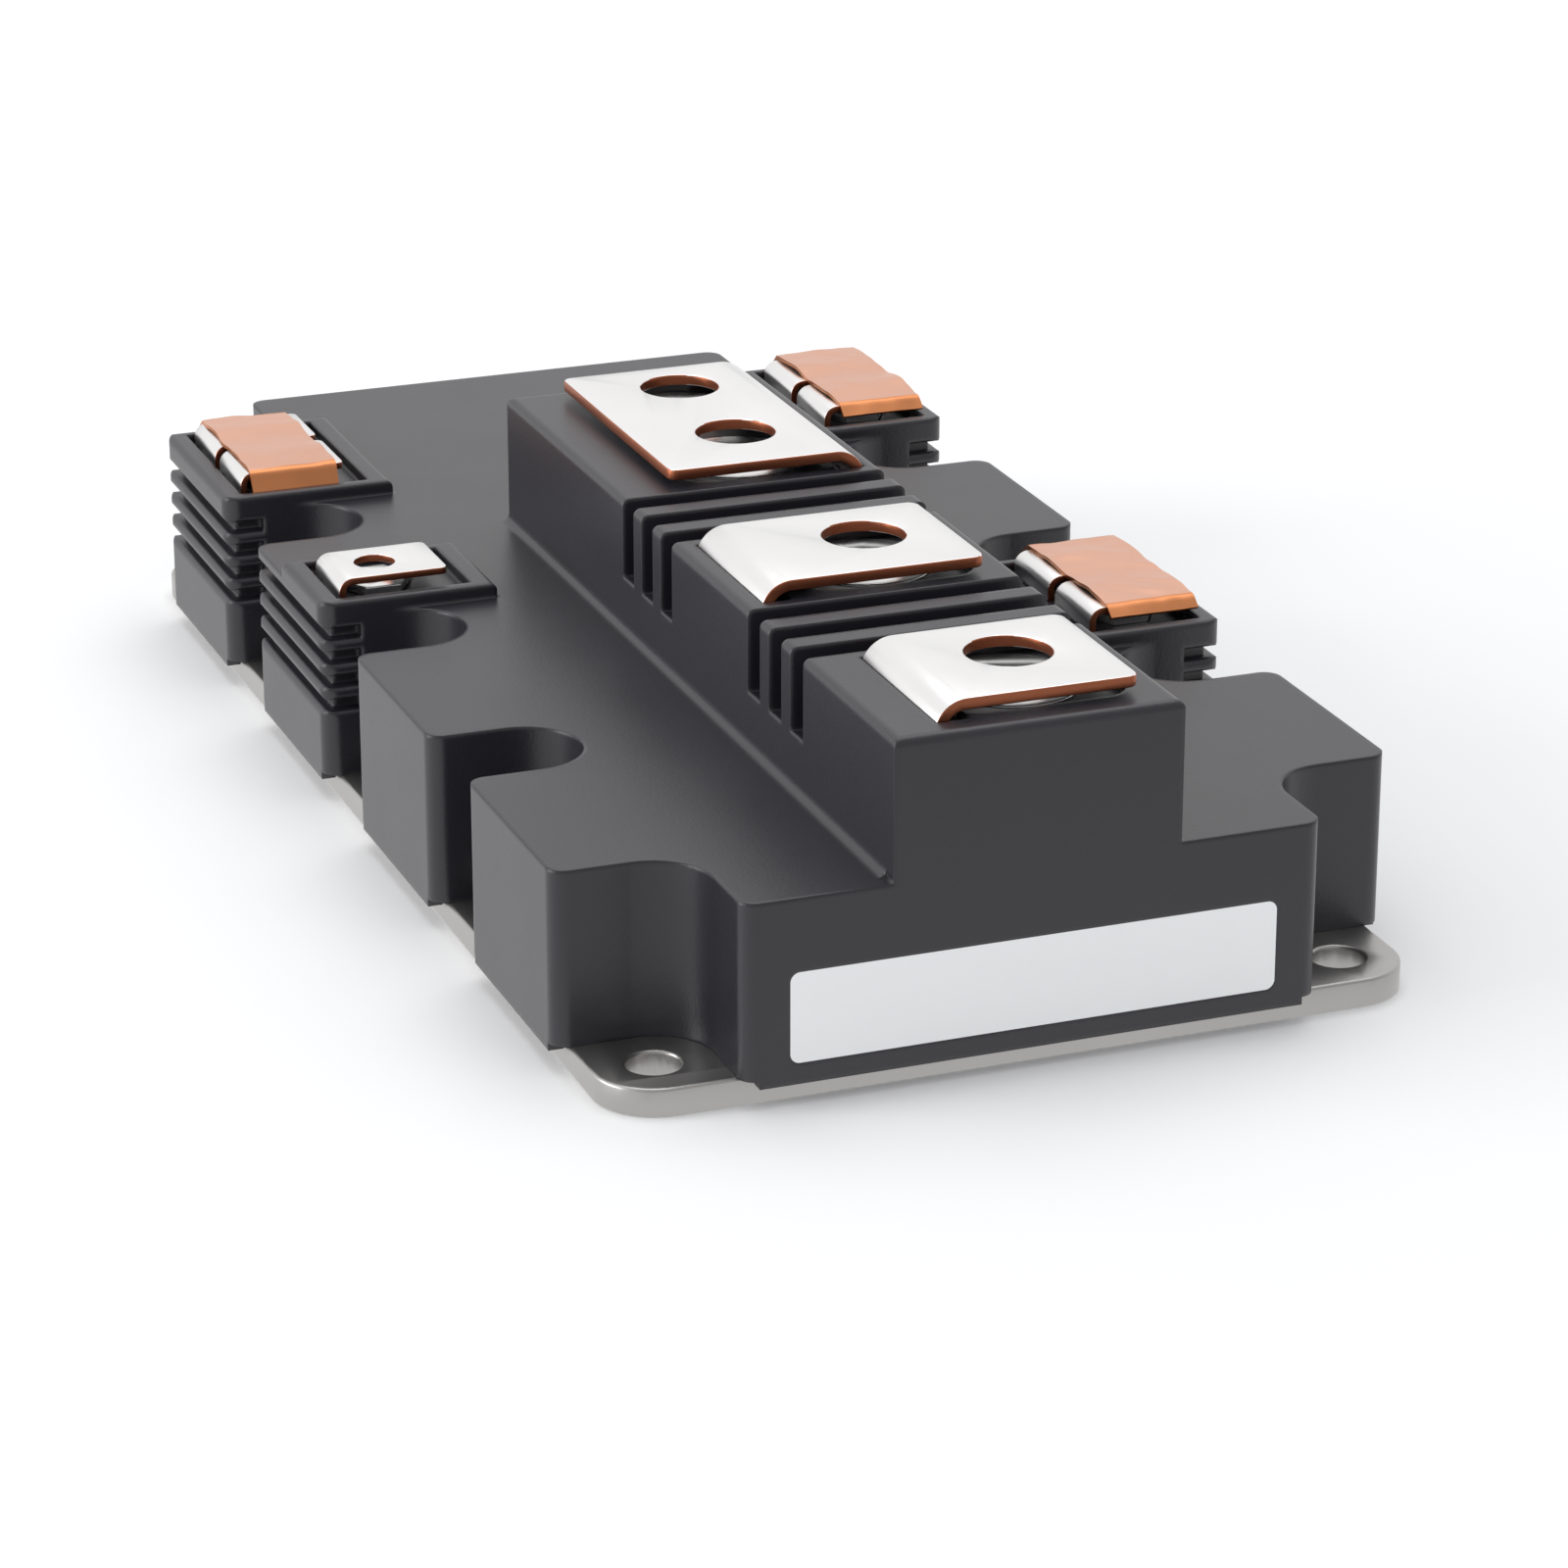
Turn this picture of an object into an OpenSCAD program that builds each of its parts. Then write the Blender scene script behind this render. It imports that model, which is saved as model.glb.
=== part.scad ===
// Half-bridge power semiconductor module in the 89 x 172 mm package. Millimetres, +Z up, base plate on Z = 0,
// centred on X and Y. The front face, where the label sits, looks towards -Y.

/* [Package] */
// Overall width of the housing
body_w = 89; // [86:0.5:96]
// Overall length of the housing
body_l = 172; // [168:0.5:184]

/* [Base plate] */
// Thickness of the base plate
plate_t = 3; // [2:0.1:4]
// How far the base plate's edge stays inside the housing's outline
plate_inset = 1.7; // [1.4:0.1:3]
// Gap between the base plate's edge and the housing's lip
plate_gap = 0.15; // [0.05:0.05:0.4]

/* [Mounting holes] */
// Diameter of the ten mounting holes
hole_d = 5.5; // [4.5:0.1:6.5]
// Distance between the two rows of holes
hole_pitch_w = 73; // [70:0.5:76]
// Distance between neighbouring holes in a row
hole_pitch_l = 39; // [38:0.25:41]
// Radius of the clearance notch round each hole
notch_r = 6.2; // [5.5:0.1:7]

/* [Housing] */
// Wall thickness
wall = 2; // [1.6:0.1:2.6]
// Height of the deck above the heat sink
deck_h = 21.4; // [19:0.1:24]
// Thickness of the deck
deck_t = 2.4; // [1.6:0.1:3]
// Rounding of the upright outer edges
edge_r = 1.8; // [0.5:0.1:2.5]
// How far the lip reaches down over the base plate's edge
lip_drop = 0.8; // [0.3:0.1:1.5]
// How far the lip stops short of each notch
lip_step = 1.7; // [0.5:0.1:3]

/* [Terminal tower] */
// Width of the tower
tower_w = 30; // [28:0.5:36]
// Length of the tower, from the front face
tower_l = 117; // [116:0.5:124]
// Height of the tower's top above the heat sink
tower_h = 36; // [33:0.5:40]
// Rounding of the tower's top edges
top_r = 0.8; // [0.3:0.1:1.2]
// Fillet along the tower's foot
foot_r = 1; // [0.4:0.1:1.6]
// Width of each insulation slot
slot_w = 3.4; // [2.5:0.1:3.8]
// Thickness of the fins between the slots
fin_t = 2.6; // [2:0.1:3]
// Depth of the insulation slots
slot_deep = 8.7; // [6:0.1:11]

/* [Signal terminal blocks] */
// Height of a block's top above the heat sink
block_h = 23; // [22:0.1:25]
// How far a block's top reaches in from the side
block_w = 20; // [19:0.1:22]
// Width of the rim at both ends of a block's recess
rim_w = 1.3; // [1:0.1:1.5]
// Distance from the housing's side to the recess
rim_out = 2.2; // [1.4:0.1:2.6]
// Distance from the housing's side to the recess's inner end
rim_in = 17.4; // [16.6:0.1:18]
// Depth of the recess under the tabs
recess_deep = 1.2; // [0.6:0.1:2]
// Number of creepage grooves on a block's side
groove_n = 4; // [2:1:4]
// Width of each groove
groove_w = 1.25; // [0.8:0.05:1.6]
// Distance between neighbouring grooves
groove_pitch = 2.73; // [2.2:0.01:3]
// Depth of the grooves
groove_deep = 1.5; // [0.8:0.1:1.6]
// Height of the top groove's centre line
groove_top = 19.3; // [18:0.1:20]
// How far the grooves run into the notch beside them
groove_wrap = 4.5; // [3:0.1:6]

/* [Power terminals] */
// Thickness of the terminal sheets
bar_t = 1.2; // [1:0.1:1.6]
// Gap between the tower and a terminal's underside
bar_gap = 0.8; // [0.4:0.1:1.5]
// Width of a DC terminal
dc_w = 19.2; // [18:0.1:20]
// Depth of the shallow seat in the tower's top under each terminal
seat_deep = 1.1; // [0.6:0.1:1.2]
// Width of the AC terminal
ac_w = 36.4; // [35:0.1:37.5]
// Diameter of the screw holes in the terminals
bar_hole_d = 8.8; // [8.4:0.1:9.6]
// Sideways place of the screw holes
screw_x = 2.5; // [1.5:0.1:3]
// Distance from the front face to the first screw hole
first_screw = 14; // [13:0.1:15]
// Distance between the DC screw holes, and from the second to the AC pair
screw_pitch = 38; // [37:0.1:39]
// Distance between the two AC screw holes
ac_pitch = 18; // [17:0.1:19]
// Distance from a screw hole to the terminal's near edge
bar_edge = 10.9; // [10:0.1:11.2]
// Inside radius of the terminals' bends
bend_r = 2.2; // [1.6:0.1:2.8]
// Distance from the first DC screw hole to the outside of its terminal's bend
minus_bend = 12.25; // [12.2:0.05:12.6]
// Distance from the second DC screw hole to the outside of its terminal's bend
plus_bend = 15.5; // [15.2:0.05:15.6]
// Distance from a DC screw hole to the terminal's free end
dc_reach = 9.1; // [8:0.1:10]
// Distance from an AC screw hole to the outside of its bend
ac_bend = 11; // [10.8:0.1:11.1]
// Distance from an AC screw hole to the terminal's free end
ac_reach = 11.5; // [10:0.1:12.5]

/* [Nuts] */
// Width across flats of the power nuts
big_af = 13; // [12:0.1:13.4]
// Height of the power nuts
big_h = 6.5; // [5:0.1:7.5]
// Diameter of the power nuts' round flange
flange_d = 15; // [14:0.1:16]
// Thickness of that flange
flange_t = 1.2; // [0.8:0.1:1.6]
// Diameter of the power nuts' threaded bore
big_bore = 6.8; // [6.4:0.1:7]
// Width across flats of the signal nuts
small_af = 7; // [6.5:0.1:7.4]
// Height of the signal nuts
small_h = 3.2; // [2.4:0.1:3.4]
// Diameter of the signal nuts' threaded bore
small_bore = 3.3; // [3:0.1:3.5]
// How far the signal nuts lie below the tabs
small_drop = 0.9; // [0.2:0.1:1.1]
// Clearance between a nut and its pocket
nut_gap = 0.15; // [0.05:0.05:0.3]
// Diameter of the well for the end of a power screw, below its nut
big_well_d = 8.2; // [7.4:0.1:8.2]
// Diameter of the well for the end of a signal screw, below its nut
small_well_d = 4.1; // [3.6:0.1:4.1]

/* [Signal terminals] */
// Thickness of the tabs
tab_t = 0.8; // [0.6:0.1:1]
// Width of a tab
tab_w = 9.4; // [8.6:0.1:9.6]
// Length of a tab, from the outside of its bend
tab_l = 12.4; // [12:0.1:13]
// Distance from the housing's side to a tab's screw hole
tab_hole_in = 8.4; // [8.2:0.1:8.8]
// Distance from the outside of the bend to the screw hole
tab_hole_at = 5.4; // [5.2:0.1:5.6]
// Diameter of a tab's screw hole
tab_hole_d = 4.5; // [4.2:0.1:5]
// Gap between a block's top and the tabs' undersides
tab_gap = 0.7; // [0.3:0.1:1]
// Distance between the two tabs of a pair
tab_pitch = 11.2; // [10.8:0.1:11.3]
// How far a pair of tabs sits beyond the middle of its block
pair_shift = 1.1; // [0:0.1:1.2]
// Inside radius of a tab's bend
tab_bend = 0.8; // [0.5:0.1:1.2]
// Width of the leads inside the housing
lead_w = 3; // [2:0.1:4]
// Clearance round sheet metal where it passes through the housing
sheet_gap = 0.2; // [0.1:0.05:0.3]

/* [Shorting straps] */
// Thickness of the copper straps over the tab pairs
strap_t = 0.4; // [0.2:0.1:0.6]
// Width of a strap
strap_w = 10.2; // [9:0.1:10.4]
// Distance from the outside of the tabs' bends to a strap's near end
strap_from = 1.9; // [1:0.1:2.2]
// Length of the flat between a strap's folds
strap_l = 21.4; // [21.4:0.1:22]
// Slant of the straps' folded sides, in degrees from upright
strap_slant = 50; // [42:1:56]
// Length of the straps' folded sides
strap_side = 2.1; // [1:0.1:2.1]

/* [Label] */
// Width of the label on the front face
label_w = 51; // [40:0.5:56]
// Height of the label
label_h = 9.4; // [7:0.1:12]
// Thickness of the label, sunk flush into the housing
label_t = 0.2; // [0.1:0.05:0.4]
// Height of the label's lower edge above the heat sink
label_z = 4.4; // [4:0.1:6]

/* [Substrates and chips] */
// Width of each ceramic substrate
sub_w = 55; // [53:0.5:56]
// Length of each ceramic substrate
sub_l = 25; // [24:0.25:26]
// Distance between neighbouring substrates
sub_pitch = 27; // [26.5:0.1:27.2]
// Thickness of the solder and back copper under a substrate
solder_t = 0.3; // [0.2:0.05:0.5]
// Thickness of the ceramic
ceramic_t = 0.6; // [0.4:0.05:1]
// Thickness of the circuit copper
copper_t = 0.3; // [0.2:0.05:0.5]
// Gap between circuit copper islands
island_gap = 0.8; // [0.6:0.05:1]
// Side of each switch chip
switch_a = 9; // [8:0.1:9.2]
// Side of each diode chip
diode_a = 7; // [6:0.1:7.4]
// Thickness of the chips with their solder
chip_t = 0.3; // [0.2:0.05:0.4]
// Diameter of the bond wires
wire_d = 0.4; // [0.3:0.05:0.5]
// Height of the gel's surface above the heat sink
gel_h = 7; // [6.8:0.1:7.4]

/* [Hidden] */
$fn = 48;
eps = 0.01;

// Heights
bar_under = tower_h + bar_gap;
bar_top = bar_under + bar_t;
tab_under = block_h + tab_gap;
tab_top = tab_under + tab_t;
recess_z = block_h - recess_deep;
ceramic_z = plate_t + solder_t;
copper_z = ceramic_z + ceramic_t;
chip_z = copper_z + copper_t;

// Places along the length
front = -body_l / 2;
back = front + tower_l;
block_l = hole_pitch_l - 2 * notch_r;
dc_minus_y = front + first_screw;
dc_plus_y = dc_minus_y + screw_pitch;
ac_y = dc_plus_y + screw_pitch;
SCREWS = [dc_minus_y, dc_plus_y, ac_y, ac_y + ac_pitch];
slots_l = 3 * slot_w + 2 * fin_t;
slots_1 = (dc_minus_y - bar_edge + dc_w + dc_plus_y - bar_edge) / 2;
slots_2 = (dc_plus_y - bar_edge + dc_w + ac_y - bar_edge) / 2;

// The signal terminal blocks: side of the housing, centre along Y, and how many of their two tabs they carry
BLOCKS = [
    [-1, hole_pitch_l / 2, 1], [-1, 3 * hole_pitch_l / 2, 2],
    [1, -hole_pitch_l / 2, 2], [1, 3 * hole_pitch_l / 2, 2]];
// The tabs: block, and place in it (-1 near, 1 far)
TABS = [[0, -1], [1, -1], [1, 1], [2, -1], [2, 1], [3, -1], [3, 1]];

function block_side(i) = BLOCKS[i][0];
function block_y(i) = BLOCKS[i][1];
// Length of a block's raised top: a block with one tab is raised only round that tab
function raised_l(i) = BLOCKS[i][2] == 2 ? block_l : block_l - tab_pitch;
function raised_y(i) = block_y(i) - (block_l - raised_l(i)) / 2;
// A block with a pair of tabs has them a little beyond its middle
function block_shift(i) = BLOCKS[i][2] == 2 ? pair_shift : 0;
function row_x(side) = side * (body_w / 2 - tab_hole_in) - tab_hole_at;
function tab_x(i) = row_x(block_side(TABS[i][0]));
function tab_y(i) = block_y(TABS[i][0]) + block_shift(TABS[i][0]) + TABS[i][1] * tab_pitch / 2;

// ---------- Shared 2-D shapes ----------

// The sharp corner outside a quarter circle, at the origin, for rounding a corner that points to -X -Y
module corner_waste(r) {
    difference() {
        translate([-1, -1]) square(r + 1);
        translate([r, r]) circle(r);
    }
}

module rounded_rect(w, l, r) {
    square([w - 2 * r, l], center = true);
    square([w, l - 2 * r], center = true);
    for (x = [-1, 1], y = [-1, 1]) translate([x * (w / 2 - r), y * (l / 2 - r)]) circle(r);
}

// Rectangle standing on the X axis, with its two upper corners rounded
module round_top(w, h, r) {
    translate([-w / 2, 0]) square([w, h - r]);
    translate([-w / 2 + r, 0]) square([w - 2 * r, h]);
    for (s = [-1, 1]) translate([s * (w / 2 - r), h - r]) circle(r);
}

// Everything that the ten notches take away, seen from above
module notches(r) {
    edge_x = (body_w - hole_pitch_w) / 2 + 5;
    edge_y = body_l / 2 - 2 * hole_pitch_l + 5;
    for (s = [0, 1]) mirror([s, 0]) {
        for (k = [-1:1]) translate([hole_pitch_w / 2, k * hole_pitch_l]) {
            circle(r);
            translate([0, -r]) square([edge_x, 2 * r]);
        }
        for (t = [0, 1]) mirror([0, t]) translate([hole_pitch_w / 2, 2 * hole_pitch_l]) {
            circle(r);
            translate([0, -r]) square([edge_x, r + edge_y]);
            translate([-r, 0]) square([r + edge_x, edge_y]);
        }
    }
}

// The housing's outline with its rounded upright edges
module outline() {
    difference() {
        square([body_w, body_l], center = true);
        notches(notch_r);
        for (s = [0, 1], t = [0, 1]) mirror([s, 0]) mirror([0, t]) {
            for (y = [notch_r, hole_pitch_l + notch_r])
                translate([body_w / 2, y]) mirror([1, 0]) corner_waste(edge_r);
            for (y = [hole_pitch_l - notch_r, 2 * hole_pitch_l - notch_r])
                translate([body_w / 2, y]) mirror([1, 0]) mirror([0, 1]) corner_waste(edge_r);
            translate([hole_pitch_w / 2 - notch_r, body_l / 2])
                mirror([1, 0]) mirror([0, 1]) corner_waste(edge_r);
        }
    }
}

// The space inside the housing's walls
module inside() {
    difference() {
        square([body_w - 2 * wall, body_l - 2 * wall], center = true);
        notches(notch_r + wall);
    }
}

module hexagon(af) { circle(d = af / cos(30), $fn = 6); }

// ---------- Base plate ----------

module base_plate() {
    w = body_w - 2 * plate_inset;
    l = body_l - 2 * plate_inset;
    color("#d2d0c8") difference() {
        linear_extrude(plate_t) rounded_rect(w, l, (w - hole_pitch_w) / 2);
        for (x = [-1, 1], k = [-2:2])
            translate([x * hole_pitch_w / 2, k * hole_pitch_l, -1]) cylinder(h = plate_t + 2, d = hole_d);
    }
}

// ---------- Housing ----------

// The tower's outside, down to the deck, with a fillet along its foot
module tower() {
    z = deck_h - 1;
    h = tower_h - z;
    translate([0, 0, z]) intersection() {
        translate([0, back, 0]) rotate([90, 0, 0]) linear_extrude(tower_l) round_top(tower_w, h, top_r);
        translate([-tower_w / 2, front + tower_l / 2, 0])
            rotate([90, 0, 90]) linear_extrude(tower_w) round_top(tower_l, h, top_r);
    }
    for (s = [0, 1]) mirror([s, 0, 0]) translate([tower_w / 2, back, deck_h])
        rotate([90, 0, 0]) linear_extrude(tower_l - edge_r) difference() {
            translate([-1, -1]) square(foot_r + 1);
            translate([foot_r, foot_r]) circle(foot_r);
        }
}

// Three slots across the tower between two terminals
module slots(y) {
    for (k = [-1:1]) translate([-tower_w, y + k * (slot_w + fin_t) - slot_w / 2, tower_h - slot_deep])
        cube([2 * tower_w, slot_w, slot_deep + 1]);
}

// The room inside the tower, under its top and between its slots
module tower_room() {
    w = tower_w - 2 * wall;
    low = deck_h - deck_t - 1;
    under_slots = tower_h - slot_deep - wall;
    top = tower_h - deck_t;
    translate([-w / 2, front + wall, low]) cube([w, tower_l - 2 * wall, under_slots - low]);
    for (span = [[front + wall, slots_1 - slots_l / 2 - wall],
                 [slots_1 + slots_l / 2 + wall, slots_2 - slots_l / 2 - wall],
                 [slots_2 + slots_l / 2 + wall, back - wall]])
        translate([-w / 2, span[0], low]) cube([w, span[1] - span[0], top - low]);
}

// The post under each power nut, closed at its bottom
nut_z = tower_h - seat_deep + 0.2;
post_r = flange_d / 2 + wall;
well_deep = 16;
module nut_posts() {
    for (y = SCREWS) translate([screw_x, y, tower_h - well_deep - wall])
        cylinder(h = well_deep + wall - top_r, r = post_r);
}

// Seats for the power nuts: round flange, hexagon below it, a well for the screw's end, and a shallow seat
// round them under each terminal
module power_nut_seats() {
    for (y = SCREWS) translate([screw_x, y, 0]) {
        translate([0, 0, nut_z - flange_t]) cylinder(h = flange_t + 1, d = flange_d + 2 * nut_gap);
        translate([0, 0, nut_z - big_h]) linear_extrude(big_h) hexagon(big_af + 2 * nut_gap);
        translate([0, 0, tower_h - well_deep]) cylinder(h = well_deep, d = big_well_d);
    }
    for (b = [[dc_minus_y, dc_w], [dc_plus_y, dc_w], [ac_y, ac_w]])
        translate([screw_x, b[0] - bar_edge + b[1] / 2, tower_h - seat_deep])
            linear_extrude(seat_deep + 1) rounded_rect(18, b[1] - 1.4, 3);
}

// Slots in the tower that the terminals' legs come up through
module leg_slots() {
    leg_slot(screw_x - minus_bend, dc_minus_y, dc_w);
    leg_slot(screw_x - plus_bend, dc_plus_y, dc_w);
    mirror([1, 0, 0]) leg_slot(-screw_x - ac_bend, ac_y, ac_w);
}

module leg_slot(x, y, w) {
    g = sheet_gap;
    r = bend_r + bar_t;
    translate([x - g, y - bar_edge - g, deck_h - deck_t - 1])
        cube([bar_t + 2 * g, w + 2 * g, bar_under + bar_t - r - deck_h + deck_t + 1]);
    translate([x + r, y - bar_edge - g, bar_top - r]) rotate([-90, 0, 0]) intersection() {
        cylinder(h = w + 2 * g, r = r + g);
        translate([-r - g, -r - g, 0]) cube([r + g, r + g, w + 2 * g]);
    }
}

// The raised top of a signal terminal block, and the solid pedestal under it
module blocks() {
    for (i = [0:len(BLOCKS) - 1]) {
        intersection() {
            translate([0, 0, deck_h - 1]) linear_extrude(block_h - deck_h + 1) outline();
            block_box(i, block_w, raised_y(i), raised_l(i), 0, block_h + 1);
            translate([block_side(i) * (body_w - block_w) / 2, raised_y(i), 0]) union() {
                intersection() {
                    translate([0, raised_l(i) / 2, 0])
                        rotate([90, 0, 0]) linear_extrude(raised_l(i)) round_top(block_w, block_h, top_r);
                    translate([-block_w / 2, 0, 0])
                        rotate([90, 0, 90]) linear_extrude(block_w) round_top(raised_l(i), block_h, 0.4);
                }
            }
        }
        intersection() {
            linear_extrude(deck_h) outline();
            block_box(i, block_w - wall / 2, block_y(i), block_l, pedestal_z, deck_h);
        }
    }
}
pedestal_z = 9.5;

module block_box(i, w, y, l, z0, z1) {
    x = block_side(i) < 0 ? -body_w / 2 : body_w / 2 - w;
    translate([x, y - l / 2, z0]) cube([w, l, z1 - z0]);
}

// Recess, nut pocket, screw well and lead slot of every signal terminal
module block_recesses() {
    for (i = [0:len(BLOCKS) - 1]) {
        l = raised_l(i) - 2 * rim_w;
        w = rim_in - rim_out;
        x = block_side(i) < 0 ? -body_w / 2 + rim_out : body_w / 2 - rim_in;
        translate([x, raised_y(i) - l / 2, recess_z]) cube([w, l, recess_deep + 1]);
    }
    for (i = [0:len(TABS) - 1]) translate([tab_x(i), tab_y(i), 0]) {
        translate([tab_hole_at, 0, tab_under - small_drop - small_h])
            linear_extrude(small_h + 1) hexagon(small_af + 2 * nut_gap);
        translate([tab_hole_at, 0, pedestal_z + wall]) cylinder(h = block_h, d = small_well_d);
        translate([-sheet_gap, -tab_w / 2 - sheet_gap, shoulder_z - sheet_gap])
            cube([tab_t + 2 * sheet_gap, tab_w + 2 * sheet_gap, block_h]);
        translate([-sheet_gap, lead_y(i) - lead_w / 2 - sheet_gap, pedestal_z - 1])
            cube([tab_t + 2 * sheet_gap, lead_w + 2 * sheet_gap, block_h - pedestal_z]);
    }
}
shoulder_z = 17;

// Where a lead leaves the middle of its tab, so that it lands on one substrate
function lead_y(i) = TABS[i][0] % 2 == 1 && TABS[i][1] < 0 ? -tab_w / 4 : (TABS[i][0] == 2 ? tab_w / 4 : 0);

// Creepage grooves round a block's outer side. Their mouths are rounded, which rounds the ribs' noses.
module groove_profile() {
    nose = (groove_pitch - groove_w) / 2;
    translate([-groove_deep, -groove_w / 2]) square([groove_deep + 1, groove_w]);
    for (s = [0, 1]) mirror([0, s]) translate([0, groove_w / 2]) mirror([1, 0]) corner_waste(nose);
}

module grooves() {
    for (i = [0:len(BLOCKS) - 1], k = [0:groove_n - 1]) {
        s = block_side(i);
        z = groove_top - k * groove_pitch;
        translate([s * body_w / 2, block_y(i) + block_l / 2 + 1, z]) rotate([90, 0, 0])
            linear_extrude(block_l + 2) mirror([s < 0 ? 1 : 0, 0]) groove_profile();
        for (t = [0, 1]) translate([s * (body_w / 2 - groove_wrap), block_y(i), z]) mirror([0, t, 0])
            translate([0, block_l / 2, 0]) rotate([90, 0, s * 90]) linear_extrude(groove_wrap + 1)
                mirror([s < 0 ? 1 : 0, 0]) groove_profile();
    }
}

// The lip that reaches down over the base plate's edge between the notches
module lip() {
    g = 2 * (plate_gap - plate_inset);
    translate([0, 0, plate_t - lip_drop]) linear_extrude(lip_drop + 1) difference() {
        square([body_w, body_l], center = true);
        square([body_w + g, body_l + g], center = true);
        notches(notch_r + lip_step);
    }
}

module housing() {
    color("#46464a") difference() {
        union() {
            difference() {
                union() {
                    translate([0, 0, plate_t]) linear_extrude(deck_h - plate_t) outline();
                    tower();
                }
                translate([0, 0, plate_t - 1]) linear_extrude(deck_h - deck_t - plate_t + 1) inside();
                tower_room();
            }
            nut_posts();
            blocks();
            lip();
        }
        slots(slots_1);
        slots(slots_2);
        power_nut_seats();
        leg_slots();
        block_recesses();
        grooves();
        front_label_shape();
    }
}

// ---------- Power terminals ----------

// A terminal's part above the tower: flat top, bend and the start of its leg, with the bend towards -X
module bar(bend, reach, y, w, screws, leg_z, leg_w, leg_from) {
    r = bend_r + bar_t;
    y0 = y - bar_edge;
    x = -bend;
    difference() {
        translate([x + r, y0, bar_under]) cube([bend - r + reach, w, bar_t]);
        for (k = [0:screws - 1]) translate([0, y + k * ac_pitch, bar_under - 1])
            cylinder(h = bar_t + 2, d = bar_hole_d);
        for (t = [[y0, 0], [y0 + w, 1]]) translate([reach, t[0], bar_under - 1])
            linear_extrude(bar_t + 2) mirror([1, 0]) mirror([0, t[1]]) corner_waste(bar_t);
    }
    translate([x + r, y0, bar_top - r]) rotate([-90, 0, 0]) linear_extrude(w) intersection() {
        difference() {
            circle(r);
            circle(bend_r);
        }
        translate([-r - 1, -r - 1]) square(r + 1);
    }
    translate([x, y0, shoulder]) cube([bar_t, w, bar_top - r - shoulder]);
    translate([x, leg_from, leg_z]) cube([bar_t, leg_w, shoulder - leg_z]);
}
shoulder = 20.5;

// Substrate centres along the length
function sub_y(n) = (n - 3.5) * sub_pitch;
foot_w = 4;
foot_y = -0.5;
rail_z = 8;
rail_h = 5;

module dc_minus_terminal() {
    x = screw_x - minus_bend;
    y0 = dc_minus_y - bar_edge;
    color("#e2e0dc") {
        translate([screw_x, 0, 0]) bar(minus_bend, dc_reach, dc_minus_y, dc_w, 1, rail_z, dc_w / 2, y0);
        translate([x, y0, rail_z]) cube([bar_t, sub_y(6) + foot_y + foot_w / 2 - y0, rail_h]);
        for (n = [1:6]) translate([x, sub_y(n) + foot_y - foot_w / 2, chip_z]) {
            cube([bar_t, foot_w, rail_z - chip_z]);
            cube([bar_t + 3.3, foot_w, bar_t]);
        }
    }
}

module dc_plus_terminal() {
    x = screw_x - plus_bend;
    y0 = sub_y(1) + foot_y - foot_w / 2;
    color("#e2e0dc") {
        translate([screw_x, 0, 0])
            bar(plus_bend, dc_reach, dc_plus_y, dc_w, 1, rail_z, dc_w, dc_plus_y - bar_edge);
        translate([x, y0, rail_z]) cube([bar_t, sub_y(6) - sub_y(1) + foot_w, rail_h]);
        for (n = [1:6]) translate([x, sub_y(n) + foot_y - foot_w / 2, chip_z]) {
            cube([bar_t, foot_w, rail_z - chip_z]);
            translate([-3.3, 0, 0]) cube([bar_t + 3.3, foot_w, bar_t]);
        }
    }
}

module ac_terminal() {
    x = screw_x + ac_bend;
    y0 = sub_y(1) + foot_y - foot_w / 2;
    color("#e2e0dc") {
        mirror([1, 0, 0]) translate([-screw_x, 0, 0])
            bar(ac_bend, ac_reach, ac_y, ac_w, 2, rail_z, ac_w, ac_y - bar_edge);
        translate([x - bar_t, y0, rail_z]) cube([bar_t, sub_y(6) - sub_y(1) + foot_w, rail_h]);
        for (n = [1:6]) translate([x - bar_t, sub_y(n) + foot_y - foot_w / 2, chip_z]) {
            cube([bar_t, foot_w, rail_z - chip_z]);
            cube([bar_t + 3.3, foot_w, bar_t]);
        }
    }
}

module power_nut(n) {
    color("#cfcfcb") translate([screw_x, SCREWS[n - 1], nut_z - big_h]) difference() {
        union() {
            linear_extrude(big_h - flange_t / 2) hexagon(big_af);
            translate([0, 0, big_h - flange_t]) cylinder(h = flange_t, d = flange_d);
        }
        translate([0, 0, -1]) cylinder(h = big_h + 2, d = big_bore);
    }
}

// ---------- Signal terminals ----------

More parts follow.
